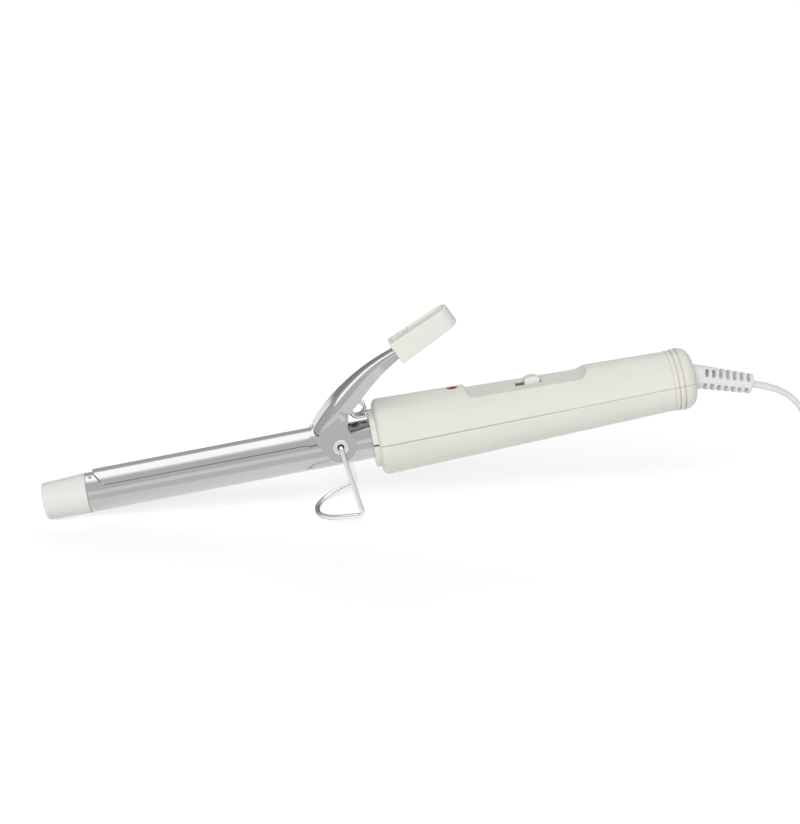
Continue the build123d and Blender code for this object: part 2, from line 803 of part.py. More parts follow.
handle = handle_body()
parts = {
    "cool_tip": make_cool_tip(),
    "tip_pin": make_tip_pin(),
    "barrel_tube": make_barrel(),
    "ptc_heater": make_heater(),
    "heat_spreaders": make_spreaders(),
    "barrel_bush": make_bush(),
    "handle_upper_shell": make_upper_shell(handle),
    "handle_lower_shell": make_lower_shell(handle),
    "case_screws": make_case_screws(),
    "indicator_lens": make_lens(),
    "neon_lamp": make_lamp(),
    "switch_body": make_switch_body(),
    "switch_terminals": make_terminals(),
    "switch_knob": make_knob(),
    "thermal_fuse": make_fuse(),
    "switched_lead": make_switched_lead(),
    "live_lead": make_live_lead(),
    "neutral_lead": make_neutral_lead(),
    "pivot_eyelets": make_eyelets(),
    "clamp_spoon": make_spoon(),
    "clamp_lever": make_lever(),
    "thumb_rest": make_thumb_rest(),
    "clamp_spring": make_spring(),
    "wire_stand": make_stand(),
    "strain_relief": make_strain_relief(),
}

tilted = {name: Rot(0, -tilt, 0) * shape for name, shape in parts.items()}
boxes = [shape.bounding_box() for shape in tilted.values()]
x_middle = (min(b.min.X for b in boxes) + max(b.max.X for b in boxes)) / 2
z_low = min(b.min.Z for b in boxes)
place = Pos(-x_middle, 0, -z_low) * Rot(0, -tilt, 0)
placed = {name: place * shape for name, shape in parts.items()}


def cord_section():
    """The flat flex's cross-section, wide along its own X."""
    a, b, c = cord_width / 2, cord_thickness / 2, cord_chamfer
    corner = [(a, b - c), (a - c, b)]
    ring = corner + [(-x, y) for x, y in reversed(corner)]
    return make_face(Polyline(*ring, *[(-x, -y) for x, y in ring], close=True))


def fall(heading):
    """A direction in the middle plane, as many degrees below level."""
    return Vector(cos(radians(heading)), 0, -sin(radians(heading)))


def lead_points():
    """The cord's corner points from the boot to where it lies flat, and its bend radii."""
    heading = boot_bend - tilt
    start = (place * boot_place * Pos(boot_length, 0, 0)).position
    fixed = [(first_run, heading)] + runs_down + runs_out
    left = start.Z - cord_thickness / 2 - sum(length * sin(radians(angle)) for length, angle in fixed)
    runs = [(first_run, heading)] + runs_down + [(left / sin(radians(steepest)), steepest)] + runs_out
    points = [start]
    for length, angle in runs:
        points.append(points[-1] + fall(angle) * length)
    radii = []
    for (run, angle), (next_run, next_angle) in zip(runs, runs[1:]):
        radii.append(0.45 * min(run, next_run) / tan(radians(abs(next_angle - angle)) / 2))
    return points, radii


def twist_height(share):
    """Height of the flex's middle while it turns from flat to on edge, so that it stays on the surface."""
    turn = radians(90 * share)
    a, b, c = cord_width / 2, cord_thickness / 2, cord_chamfer
    reach = max(x * sin(turn) + y * cos(turn) for x, y in ((a, b - c), (a - c, b)))
    return reach + (tie_thickness + tie_lift) * share


def make_cord_lead():
    """The flex from the boot down to the surface, then out to the hank's side with a quarter turn on to its
    edge."""
    points, radii = lead_points()
    path = FilletPolyline(*points, radius=radii)
    down = sweep(Plane(origin=points[0], x_dir=(0, 1, 0), z_dir=path % 0) * cord_section(), path)
    touch = points[-1]
    level = Vector(1, 0, 0)
    aside = Wire(biarc(touch, level, touch + Vector(cord_twist_run, -hank_r, 0), level))
    faces = []
    for step in range(cord_twist_steps + 1):
        share = step / cord_twist_steps
        turn = radians(90 * share)
        along = aside % share
        flat = aside @ share
        middle = Vector(flat.X, flat.Y, twist_height(share))
        across = Vector(-along.Y, along.X, 0) * cos(turn) + Vector(0, 0, sin(turn))
        faces.append(Plane(origin=middle, x_dir=across, z_dir=along) * cord_section())
    twist = loft(faces, ruled=True)
    length = path.length + aside.length
    share = (down.volume + twist.volume) / (cord_section().area * length)
    print("lead:", round(length), "mm, bends", [round(r) for r in radii], "volume share", round(share, 3))
    return down + twist, middle, length


cord_lead, hank_start, lead_length = make_cord_lead()
hank_x = hank_start.X + hank_straight + hank_run / 2


def hank_runs():
    """Each run of the hank in turn: its side, its ring from the outside, and its layer at both ends. It is
    wound inwards on one layer and outwards on the next, and a run on its own climbs from layer to layer."""
    runs = []
    for pair in range(hank_layer_pairs):
        low, high = 2 * pair, 2 * pair + 1
        runs += [(-1, 0, max(low - 1, 0), low), (1, 0, low, low), (-1, 1, low, low)]
        runs += [(1, 1, low, high), (-1, 1, high, high), (1, 0, high, high)]
    return runs + [(-1, 0, high, high)]


def hank_places():
    """Places and directions along the hank: the start, the drawn-in waist and the end of each run."""
    places = []
    for side, ring, first, last in hank_runs():
        r, climb = hank_r - ring * hank_step, (last - first) * hank_layer
        z = hank_start.Z + (first + last) / 2 * hank_layer
        for share, drawn, slope in ((-0.5, 0, 0), (0, hank_drawn_in, 2 * climb / hank_run), (0.5, 0, 0)):
            place = Vector(hank_x - side * share * hank_run, side * (r - drawn), z + share * climb)
            places.append((place, Vector(-side, 0, slope).normalized()))
    return places


def flex_on_edge(edges):
    """A stretch of the flex, standing on its edge."""
    path = Wire(edges)
    start = Plane(origin=path @ 0, x_dir=(0, 0, 1), z_dir=path % 0)
    return sweep(start * cord_section(), path, binormal=path.translate((0, 0, far)))


def make_cord_coil():
    """The put-away flex on its edge, wound into a hank with a drawn-in waist, and its tail to the plug."""
    places = hank_places()
    edges = [Line(hank_start, places[0][0]).edge()]
    stretches = []
    for step, ((p0, t0), (p1, t1)) in enumerate(zip(places, places[1:]), 1):
        edges += biarc(p0, t0, p1, t1)
        if step % 3 == 0:
            stretches.append(edges)
            edges = []
    last, along = places[-1]
    leave = last + along * tail_straight
    lower = Vector(leave.X + tail_drop_run, 0, plug_thickness / 2)
    end = lower + along * hank_straight
    edges += [Line(last, leave).edge(), *biarc(leave, along, lower, along), Line(lower, end).edge()]
    stretches.append(edges)
    whole = [edge for stretch in stretches for edge in stretch]
    length = sum(edge.length for edge in whole)
    print("hank:", round(length), "mm, least gap to itself", round(least_hank_gap(whole), 2), "mm")
    pieces = [flex_on_edge(stretch) for stretch in stretches]
    return pieces[0].fuse(*pieces[1:]), end, length


def least_hank_gap(edges):
    """Least clear gap between different strands of the flex on its edge, beside or above one another."""
    spacing = 1.5
    points = path_points(edges, spacing)
    apart = int(2 * hank_r / spacing)
    least = far
    for i, p in enumerate(points):
        for q in points[i + apart:]:
            across = hypot(q.X - p.X, q.Y - p.Y) - cord_thickness
            least = min(least, max(across, abs(q.Z - p.Z) - cord_width))
    return least


cord_coil, plug_start, coil_length = make_cord_coil()


def make_cord_tie():
    """A strap round the hank's waist."""
    width = 2 * (hank_r - hank_drawn_in) + cord_thickness + 2 * tie_side_gap
    height = (2 * hank_layer_pairs - 1) * hank_layer + cord_width
    r, t = tie_side_gap, tie_thickness
    strap = RectangleRounded(width + 2 * t, height + 2 * t, r + t) - RectangleRounded(width, height, r)
    middle = Vector(hank_x, 0, hank_start.Z + (height - cord_width) / 2)
    return extrude(Plane(origin=middle, x_dir=(0, 1, 0), z_dir=(1, 0, 0)) * strap, tie_width / 2, both=True)


def plug_pin_places():
    x = plug_start.X + plug_length
    return [Vector(x, plug_start.Y + side * pin_pitch / 2, plug_start.Z) for side in (-1, 1)]


def plug_face(narrow, wide, over):
    """The plug's outline, narrow at its neck and wide at its front, drawn a little over both ends."""
    half = [(-over, narrow / 2, 1.0), (plug_neck, narrow / 2, plug_waist_r),
            (plug_length - plug_front, wide / 2, plug_waist_r), (plug_length + over, wide / 2, plug_edge_r)]
    rows = half + [(x, -y, r) for x, y, r in reversed(half)]
    points = [(x, y) for x, y, r in rows]
    return make_face(FilletPolyline(*points, radius=[r for x, y, r in rows], close=True))


def make_plug_body():
    """A flat two-pin plug: its plan and its side outline, both narrow at the neck."""
    plan = extrude(plug_face(plug_neck_width, plug_width, 0), far, both=True)
    side = extrude(Plane.XZ * plug_face(plug_neck_thickness, plug_thickness, 2.0), far, both=True)
    body = Pos(*plug_start) * (plan & side)
    for p in plug_pin_places():
        body -= rod_x(p.X - pin_root, p.X + 1, pin_root_d / 2, p.Y, p.Z)
    return body


def make_plug_pins():
    pins = Part()
    for p in plug_pin_places():
        pin = round_end(rod_x(p.X, p.X + pin_length, pin_d / 2, p.Y, p.Z), pin_end_r, Vector(1, 0, 0))
        pins += pin + rod_x(p.X - pin_root, p.X, pin_root_d / 2, p.Y, p.Z)
    return pins


placed["cord_lead"] = cord_lead
placed["cord_coil"] = cord_coil
placed["cord_tie"] = make_cord_tie()
placed["plug_body"] = make_plug_body()
placed["plug_pins"] = make_plug_pins()

os.makedirs("parts", exist_ok=True)
for name, shape in placed.items():
    export_step(shape, "parts/" + name + ".step")
    size = shape.bounding_box().size
    print(name, len(shape.solids()), "solids", round(shape.volume, 1), "mm3", [round(v, 1) for v in size])

pivot = (place * Pos(x_pivot, 0, pivot_z)).position
print("tilt", round(tilt, 3), "x_middle", round(x_middle, 3), "z_low", round(z_low, 3))
print("pivot", [round(v, 3) for v in pivot])
print("cord length", round(lead_length + coil_length), "mm", "plug_start", [round(v, 3) for v in plug_start])
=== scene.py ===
# %% [markdown]
# # A hair curling iron
# The CAD model already holds every rigid piece of the iron in its place. This lesson dresses it: it adds the
# flexible and wound pieces that a CAD solid can only hint at, gives each surface the finish of the real
# material, and sets up a small studio. Everything is in metres, in the frame of the CAD model.

# %% Load the frame
import json
import math

import bpy
from mathutils import Euler, Matrix, Vector


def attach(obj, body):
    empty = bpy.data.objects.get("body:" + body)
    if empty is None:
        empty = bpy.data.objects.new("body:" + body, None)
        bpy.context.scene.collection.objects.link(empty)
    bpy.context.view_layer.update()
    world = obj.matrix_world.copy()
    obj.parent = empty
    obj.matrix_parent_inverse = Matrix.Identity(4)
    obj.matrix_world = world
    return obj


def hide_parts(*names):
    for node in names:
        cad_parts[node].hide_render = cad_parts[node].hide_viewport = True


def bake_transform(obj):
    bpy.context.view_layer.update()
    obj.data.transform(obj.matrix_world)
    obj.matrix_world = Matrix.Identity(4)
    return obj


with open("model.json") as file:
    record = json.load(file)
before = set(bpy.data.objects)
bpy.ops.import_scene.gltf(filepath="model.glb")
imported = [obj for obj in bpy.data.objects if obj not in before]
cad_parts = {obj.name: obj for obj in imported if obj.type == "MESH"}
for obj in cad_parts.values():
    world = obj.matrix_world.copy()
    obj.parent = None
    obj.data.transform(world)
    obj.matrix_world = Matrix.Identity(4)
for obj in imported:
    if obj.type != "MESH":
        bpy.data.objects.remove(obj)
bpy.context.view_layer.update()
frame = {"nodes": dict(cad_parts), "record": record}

nodes = frame["nodes"]
bpy.ops.object.select_all(action="DESELECT")

# %% [markdown]
# ## The camera
# The picture was taken from a little above, almost square to the iron, with a long lens. The angles below
# were found by matching corners of the CAD model with the same corners in the picture. A camera is turned
# by three angles here: down from the horizon, round the upright axis, and a slight roll about its own view.

# %% Camera
photo_width, photo_height = 800, 824
camera_place = (-0.070268, -0.761719, 0.246444)
view_down, view_round, view_roll = 15.014, 5.259, 0.430
focal_pixels, sensor_wide = 1984.09, 36

bpy.ops.object.camera_add(location=camera_place)
camera = bpy.context.object
camera.name = "camera"
turn = Euler((math.radians(90 - view_down), 0, math.radians(-view_round))).to_matrix()
camera.rotation_euler = (turn @ Matrix.Rotation(math.radians(view_roll), 3, "Z")).to_euler()
camera.data.sensor_width = sensor_wide
camera.data.lens = focal_pixels * sensor_wide / max(photo_width, photo_height)
bpy.context.scene.camera = camera
print("camera lens", round(camera.data.lens, 2), "mm")

# %% [markdown]
# ## Places on the iron
# The iron rests on its tip and its stand, so its axis leans up towards the cord. It is easier to think in
# millimetres along the axis from the tip, across it, and above it, and to turn such a place into the frame.

# %% A place on the iron
iron_lean = math.radians(10.295)
tip_place = Vector((-141.627, 0, 6.969))
handle_end = 263.8


def on_iron(along, across, above):
    """A place in millimetres on the iron's own axes, in metres in the frame."""
    lean = Matrix.Rotation(-iron_lean, 3, "Y")
    return (lean @ Vector((along, across, above)) + tip_place) / 1000


print("handle's end is at", [round(v, 4) for v in on_iron(handle_end, 0, 0)])

# %% [markdown]
# ## The cord's way
# The cord is a flat twin flex. It leaves the boot, sinks under its own weight, lies on the table, turns on to
# its edge and is folded into a hank that a strap holds, with the plug behind it. A cord is a smooth curve, so
# its corner points become the control points of a NURBS curve, which rounds every corner by itself. Each
# point also carries a tilt, which is how far the flat section is turned about the cord's own line. The way
# down is given as runs, each a length in millimetres and its fall below level in degrees. The turn on to
# the edge is given as places ahead, across and above, with the share of the turn that is done there.

# %% The cord's points, from the boot to the hank
boot_end = Vector((142.265, 0, 50.803))
runs = [(10, 8.2), (11, 32), (11, 57), (17.56, 70), (11, 57), (11, 32), (10, 9), (6, 0)]
flat_flex, on_edge = 0.0, math.pi / 2
hank_outer, hank_inner = 17.75, 14.6
turning = [(8, 0, 1.8, 0.22), (24, -hank_outer, 2.95, 0.8)]

cord_route = [(boot_end, flat_flex)]
for run, fall in runs:
    step = Vector((math.cos(math.radians(fall)), 0, -math.sin(math.radians(fall)))) * run
    cord_route.append((cord_route[-1][0] + step, flat_flex))
touch = cord_route[-1][0]
for ahead, across, height, turned in turning:
    cord_route.append((Vector((touch.x + ahead, across, height)), turned * on_edge))
print("lies on the table from", round(touch.x, 1), "mm at height", round(touch.z, 2))

# %% [markdown]
# The hank is the cord folded to and fro round two end loops, two strands deep and four layers high. Each run
# is named by its side, its strand from the outside and the layer at both of its ends, because every third run
# climbs to the next layer on its way.

# %% The hank's runs
twist_run, hank_straight, half_run = 32, 5, 35
hank_middle = touch.x + twist_run + hank_straight + half_run

hank_runs = []
for low in (0, 2):
    high = low + 1
    hank_runs += [(-1, 0, max(low - 1, 0), low), (1, 0, low, low), (-1, 1, low, low)]
    hank_runs += [(1, 1, low, high), (-1, 1, high, high), (1, 0, high, high)]
hank_runs.append((-1, 0, high, high))
print("hank has", len(hank_runs), "runs, its middle is at", round(hank_middle, 1), "mm")

# %% [markdown]
# A strap draws the runs in at the waist. Every run gets four corner points, each given as a share of the half
# run from its middle, how far the strap draws it in, and how much of the climb is done. Every end loop gets
# four too, set a little outside the loop, because the curve cuts its corners.

# %% The hank's points
drawn_in, first_height, layer = 7.0, 3.0, 5.35
strand_reach = (hank_outer, hank_inner)
run_corners = [(-0.75, 0, 0), (-0.25, drawn_in, 0.25), (0.25, drawn_in, 0.75), (0.75, 0, 1)]
corners_per_loop = 4

for number, (side, strand, low, high) in enumerate(hank_runs):
    reach = strand_reach[strand]
    for share, pull, climb in run_corners:
        height = first_height + layer * (low + climb * (high - low))
        place = Vector((hank_middle - side * share * half_run, side * (reach - pull), height))
        cord_route.append((place, on_edge))
    if number + 1 < len(hank_runs):
        next_reach = strand_reach[hank_runs[number + 1][1]]
        loop_r, loop_y = (reach + next_reach) / 2, side * (reach - next_reach) / 2
        corner_r = loop_r / math.cos(math.pi / 2 / corners_per_loop)
        for k in range(corners_per_loop):
            angle = math.pi * (0.5 - (k + 0.5) / corners_per_loop)
            out = Vector((-side * math.cos(angle), side * math.sin(angle), 0)) * corner_r
            place = Vector((hank_middle - side * half_run, loop_y, first_height + layer * high)) + out
            cord_route.append((place, on_edge))
print("cord route has", len(cord_route), "points at the end of the hank")

# %% [markdown]
# The tail leaves the top of the hank, comes back to the middle line and sinks into the plug's neck, still on
# its edge. Two points in line with the neck make the curve enter it straight.

# %% The tail to the plug
plug_height = 6.85
tail = hank_middle + half_run
last_height = first_height + layer * hank_runs[-1][3]
tail_corners = [
    (11, -hank_outer, last_height),
    (18.5, -hank_outer, last_height),
    (33.5, 0, plug_height),
    (41, 0, plug_height),
    (46, 0, plug_height),
]
for ahead, across, height in tail_corners:
    cord_route.append((Vector((tail + ahead, across, height)), on_edge))
print("cord route has", len(cord_route), "points and ends at", [round(v, 1) for v in cord_route[-1][0]])

# %% [markdown]
# A NURBS curve takes its order and its end setting after the points are there. With "Z up" as the way it
# twists, a level section stays level, and the tilt alone turns the flex on to its edge.

# %% The cord's curve
def nurbs_curve(name, route):
    """A smooth curve object along rows of place, in millimetres, and tilt."""
    curve = bpy.data.curves.new(name, "CURVE")
    curve.dimensions = "3D"
    curve.twist_mode = "Z_UP"
    curve.resolution_u = 3
    spline = curve.splines.new("NURBS")
    spline.points.add(len(route) - 1)
    for point, (place, tilt) in zip(spline.points, route):
        point.co = (*(place / 1000), 1)
        point.tilt = tilt
    spline.order_u = 3
    spline.use_endpoint_u = True
    piece = bpy.data.objects.new(name, curve)
    bpy.context.scene.collection.objects.link(piece)
    return piece


cord = nurbs_curve("flat_cord", cord_route)
line_mesh = bpy.data.meshes.new_from_object(cord)
cord_line = [v.co.copy() for v in line_mesh.vertices]
bpy.data.meshes.remove(line_mesh)
cord_length = sum((b - a).length for a, b in zip(cord_line, cord_line[1:]))
print("cord is", round(cord_length, 3), "m long on", len(cord_line), "points")

# %% [markdown]
# Two round wires lie side by side in the flex, so its section is two lobes with a shallow valley between
# them. The section is drawn once as a closed curve and swept along the line as the curve's bevel object.
# Made a mesh afterwards, the cord keeps that shape without its helper.

# %% The cord's section, swept along the line
lobe_r, web_half = 0.0012, 0.00078
lobe_points = 14
lobe_open = math.asin(web_half / lobe_r)

section = bpy.data.curves.new("flex_section", "CURVE")
section.dimensions = "2D"
ring = section.splines.new("POLY")
ring.points.add(2 * lobe_points - 1)
for lobe, side in enumerate((1, -1)):
    for k in range(lobe_points):
        angle = (math.pi - lobe_open) * (2 * k / (lobe_points - 1) - 1)
        x = side * lobe_r * (1 + math.cos(angle))
        ring.points[lobe * lobe_points + k].co = (x, side * lobe_r * math.sin(angle), 0, 1)
ring.use_cyclic_u = True
section_piece = bpy.data.objects.new("flex_section", section)
bpy.context.scene.collection.objects.link(section_piece)

cord.data.bevel_mode = "OBJECT"
cord.data.bevel_object = section_piece
cord.data.use_fill_caps = True
bpy.ops.object.select_all(action="DESELECT")
bpy.context.view_layer.objects.active = cord
cord.select_set(True)
bpy.ops.object.convert(target="MESH")
cord = bpy.context.object
bpy.data.objects.remove(section_piece)
bpy.ops.object.shade_smooth_by_angle(angle=math.radians(60))
print("cord mesh has", len(cord.data.polygons), "faces")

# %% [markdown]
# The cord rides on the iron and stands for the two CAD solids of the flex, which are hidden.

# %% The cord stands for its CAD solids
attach(cord, "iron")
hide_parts("cord_lead", "cord_coil")
print("cord leaves the boot at", [round(v, 4) for v in boot_end / 1000])

# %% [markdown]
# ## The clamp's spring
# A torsion spring under the lever keeps the clamp shut. It is round wire wound in a few turns, with one arm
# tucked into the handle's collar and the other pressed up under the lever. A small circle and a Screw
# modifier make the turns, because the modifier carries the circle round and along at once. The two arms
# leave the turns straight, so they are the open end rings, extruded.

# %% The spring's turns
spring_wire_r, spring_r, spring_pitch, spring_turns = 0.000625, 0.0030, 0.0018, 3.25
wire_sides, steps_per_turn = 14, 24

bpy.ops.object.select_all(action="DESELECT")
bpy.ops.mesh.primitive_circle_add(
    vertices=wire_sides, radius=spring_wire_r, location=(0, 0, -spring_r), rotation=(0, math.pi / 2, 0)
)
spring = bpy.context.object
spring.name = "clamp_spring_wire"
bpy.ops.object.transform_apply(location=True, rotation=True, scale=True)
turns = spring.modifiers.new("turns", "SCREW")
turns.axis = "Y"
turns.angle = spring_turns * 2 * math.pi
turns.screw_offset = spring_turns * spring_pitch
turns.steps = turns.render_steps = round(spring_turns * steps_per_turn)
bpy.ops.object.modifier_apply(modifier="turns")
print("spring has", len(spring.data.vertices), "points after", spring_turns, "turns")

# %% [markdown]
# An end ring is picked by its place: all its points are one wire radius from the middle of the wire there.
# The ring is extruded along the arm and closed with a flat face.

# %% The spring's arms
weld_gap = 1e-6
collar_arm, lever_arm = Vector((0.0090, 0, 0)), Vector((0, 0, 0.0080))
first_middle = Vector((0, 0, -spring_r))
last_middle = Vector((-spring_r, spring_turns * spring_pitch, 0))


def pull_arm(piece, middle, arm):
    """Extrudes the open ring round a middle along an arm, and closes it."""
    bpy.ops.object.mode_set(mode="OBJECT")
    for element in (*piece.data.polygons, *piece.data.edges):
        element.select = False
    for vertex in piece.data.vertices:
        vertex.select = abs((vertex.co - middle).length - spring_wire_r) < weld_gap
    bpy.ops.object.mode_set(mode="EDIT")
    bpy.ops.mesh.select_mode(type="VERT")
    picked = piece.data.total_vert_sel
    bpy.ops.mesh.extrude_region_move(TRANSFORM_OT_translate={"value": arm})
    bpy.ops.mesh.edge_face_add()
    bpy.ops.object.mode_set(mode="OBJECT")
    return picked


start_ring = pull_arm(spring, first_middle, collar_arm)
end_ring = pull_arm(spring, last_middle, lever_arm)
print("arms drawn from rings of", start_ring, "and", end_ring, "points")

# %% [markdown]
# Points that fall together are merged and the faces are turned outwards. Only then is the spring set in its
# place under the lever, and its place and turn are applied to the mesh.

# %% The spring in its place
spring_along, spring_side, spring_above = 128.8, -2.0, 13.2

bpy.ops.object.mode_set(mode="EDIT")
bpy.ops.mesh.select_all(action="SELECT")
bpy.ops.mesh.remove_doubles(threshold=weld_gap)
bpy.ops.mesh.normals_make_consistent(inside=False)
bpy.ops.object.mode_set(mode="OBJECT")
spring.rotation_euler = (0, -iron_lean, 0)
spring.location = on_iron(spring_along, spring_side, spring_above)
bpy.ops.object.transform_apply(location=True, rotation=True, scale=True)
bpy.ops.object.shade_smooth_by_angle(angle=math.radians(40))
print("spring has", len(spring.data.polygons), "faces")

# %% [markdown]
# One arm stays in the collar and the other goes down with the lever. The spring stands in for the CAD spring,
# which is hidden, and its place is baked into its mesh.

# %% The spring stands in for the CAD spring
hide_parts("clamp_spring")
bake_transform(spring)

# %% [markdown]
# ## The marks beside the switch
# The handle tapers to the rear, and a flat for the switch is cut into its top, to one depth all along. So the
# flat slopes with the handle, and its height follows from the place along the iron.

# %% The switch flat
handle_front, handle_front_r = 134.4, 15.4
band_start, band_start_r = 254.1, 12.1
handle_slope = (handle_front_r - band_start_r) / (band_start - handle_front)
flat_drop = 3.2
on_along, off_along = 188.3, 207.0


def flat_height(along):
    """Height of the switch flat above the iron's axis."""
    return handle_front_r - handle_slope * (along - handle_front) - flat_drop


print("the flat is", [round(flat_height(along), 2) for along in (on_along, off_along)], "mm above the axis")

# %% [markdown]
# Two small moulded words stand on the flat, one for each place of the knob. Each is a text object with a
# little depth. It is made a mesh first, and only then is its place applied to that mesh.

# %% The raised words
word_half_depth, word_stroke, word_lift = 0.12, 0.04, 0.02


def raised_word(word, along, width):
    """A word that stands a little proud of the switch flat."""
    bpy.ops.object.select_all(action="DESELECT")
    bpy.ops.object.text_add()
    text = bpy.context.object
    text.data.body = word
    text.data.align_x = text.data.align_y = "CENTER"
    bpy.context.view_layer.update()
    text.data.size = width / 1000 / text.dimensions.x
    text.data.extrude = word_half_depth / 1000
    text.data.offset = word_stroke / 1000
    text.data.resolution_u = 5
    bpy.ops.object.convert(target="MESH")
    piece = bpy.context.object
    piece.name = "word_" + word.lower()
    piece.rotation_euler = (0, math.atan(handle_slope) - iron_lean, 0)
    piece.location = on_iron(along, 0, flat_height(along) + word_lift)
    bpy.ops.object.transform_apply(location=True, rotation=True, scale=True)
    bpy.ops.object.mode_set(mode="EDIT")
    bpy.ops.mesh.select_all(action="SELECT")
    bpy.ops.mesh.remove_doubles(threshold=weld_gap)
    bpy.ops.mesh.normals_make_consistent(inside=False)
    bpy.ops.object.mode_set(mode="OBJECT")
    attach(piece, "iron")
    return piece


words = [raised_word("ON", on_along, width=2.9), raised_word("OFF", off_along, width=4.4)]
print("words:", [(word.name, len(word.data.polygons)) for word in words])

# %% [markdown]
# ## Finishes
# Colours are written as they look on a screen, from 0 to 255, and turned into the linear values that a
# shader works with.

# %% Colours
def screen(red, green, blue):
    """A screen colour as a linear shader colour."""
    def linear(value):
        value /= 255
        return value / 12.92 if value < 0.04045 else ((value + 0.055) / 1.055) ** 2.4
    return (linear(red), linear(green), linear(blue), 1)


print("a white of 230 is", round(screen(230, 230, 230)[0], 3), "to a shader")

# %% [markdown]
# No real surface is the same all over, and noise gives it its small unevenness. Noise keeps near its middle
# value, so it is spread to fill the range that is wanted, and it can then make a colour darker or lighter.

# %% Noise and what it drives
noise_low, noise_high = 0.3, 0.7


def noise(tree, place, scale, detail=3.0):
    """A noise texture on a place. Its scale may be a number or another node's output."""
    texture = tree.nodes.new("ShaderNodeTexNoise")
    texture.inputs["Detail"].default_value = detail
    tree.links.new(place, texture.inputs["Vector"])
    if isinstance(scale, (int, float)):
        texture.inputs["Scale"].default_value = scale
    else:
        tree.links.new(scale, texture.inputs["Scale"])
    return texture.outputs["Fac"]


def spread(tree, value, low, high):
    """A value of noise, spread between two ends."""
    node = tree.nodes.new("ShaderNodeMapRange")
    node.inputs["From Min"].default_value = noise_low
    node.inputs["From Max"].default_value = noise_high
    tree.links.new(value, node.inputs["Value"])
    for end, socket in ((low, "To Min"), (high, "To Max")):
        if isinstance(end, (int, float)):
            node.inputs[socket].default_value = end
        else:
            tree.links.new(end, node.inputs[socket])
    return node.outputs["Result"]


def shaded(tree, colour, value):
    """A colour made darker or lighter by a value."""
    node = tree.nodes.new("ShaderNodeVectorMath")
    node.operation = "SCALE"
    tree.links.new(colour, node.inputs[0])
    tree.links.new(value, node.inputs["Scale"])
    return node.outputs[0]


print("noise is mostly from", noise_low, "to", noise_high)

# %% [markdown]
# Moulded plastic is never perfectly even. The tool's spark-eroded skin leaves a grain of about two tenths of
# a millimetre, and slow flow of the melt leaves faint clouds in tone and gloss. An effect that several
# finishes share is a node group, built once: a small machine with named inputs and outputs that each
# material sets for itself.

# %% The moulded skin
def new_group(name, inputs, outputs):
    """An empty node group with its inputs and outputs."""
    group = bpy.data.node_groups.new(name, "ShaderNodeTree")
    for title, kind, value in inputs:
        socket = group.interface.new_socket(title, in_out="INPUT", socket_type=kind)
        socket.default_value = value
    for title, kind in outputs:
        group.interface.new_socket(title, in_out="OUTPUT", socket_type=kind)
    return group, group.nodes.new("NodeGroupInput"), group.nodes.new("NodeGroupOutput")


skin, skin_in, skin_out = new_group(
    "moulded skin",
    [
        ("Colour", "NodeSocketColor", (0.8, 0.8, 0.8, 1)),
        ("Grains per metre", "NodeSocketFloat", 4000),
        ("Clouds per metre", "NodeSocketFloat", 60),
        ("Cloud depth", "NodeSocketFloat", 0.97),
        ("Smoothest", "NodeSocketFloat", 0.3),
        ("Roughest", "NodeSocketFloat", 0.45),
    ],
    [("Colour", "NodeSocketColor"), ("Roughness", "NodeSocketFloat"), ("Height", "NodeSocketFloat")],
)
place = skin.nodes.new("ShaderNodeTexCoord").outputs["Object"]
grain = noise(skin, place, skin_in.outputs["Grains per metre"], 2)
cloud = noise(skin, place, skin_in.outputs["Clouds per metre"], 4)
tone = spread(skin, cloud, skin_in.outputs["Cloud depth"], 1.0)
gloss = spread(skin, cloud, skin_in.outputs["Smoothest"], skin_in.outputs["Roughest"])
skin.links.new(shaded(skin, skin_in.outputs["Colour"], tone), skin_out.inputs["Colour"])
skin.links.new(gloss, skin_out.inputs["Roughness"])
skin.links.new(grain, skin_out.inputs["Height"])
print("moulded skin group has", len(skin.nodes), "nodes")

# %% [markdown]
# Drawn or polished metal carries very fine lines the way the tool went. The place is turned with the iron
# and squeezed along one axis, so that the noise becomes lines. Fingers leave soft patches that dull the
# polish a little.

# %% The polished skin
line_shade = 0.975

polish, polish_in, polish_out = new_group(
    "polished skin",
    [
        ("Colour", "NodeSocketColor", (0.6, 0.6, 0.6, 1)),
        ("Stretch", "NodeSocketVector", (1, 1, 1)),
        ("Lines per metre", "NodeSocketFloat", 3000),
        ("Touch per metre", "NodeSocketFloat", 45),
        ("Smoothest", "NodeSocketFloat", 0.08),
        ("Roughest", "NodeSocketFloat", 0.14),
    ],
    [("Colour", "NodeSocketColor"), ("Roughness", "NodeSocketFloat"), ("Height", "NodeSocketFloat")],
)
place = polish.nodes.new("ShaderNodeTexCoord").outputs["Object"]
lean = polish.nodes.new("ShaderNodeVectorRotate")
lean.rotation_type = "Y_AXIS"
lean.inputs["Angle"].default_value = iron_lean
polish.links.new(place, lean.inputs["Vector"])
squeeze = polish.nodes.new("ShaderNodeVectorMath")
squeeze.operation = "MULTIPLY"
polish.links.new(lean.outputs["Vector"], squeeze.inputs[0])
polish.links.new(polish_in.outputs["Stretch"], squeeze.inputs[1])
lines = noise(polish, squeeze.outputs[0], polish_in.outputs["Lines per metre"], 2)
touched = noise(polish, place, polish_in.outputs["Touch per metre"], 5)
tone = spread(polish, lines, line_shade, 1.0)
gloss = spread(polish, touched, polish_in.outputs["Smoothest"], polish_in.outputs["Roughest"])
polish.links.new(shaded(polish, polish_in.outputs["Colour"], tone), polish_out.inputs["Colour"])
polish.links.new(gloss, polish_out.inputs["Roughness"])
polish.links.new(lines, polish_out.inputs["Height"])
print("polished skin group has", len(polish.nodes), "nodes")

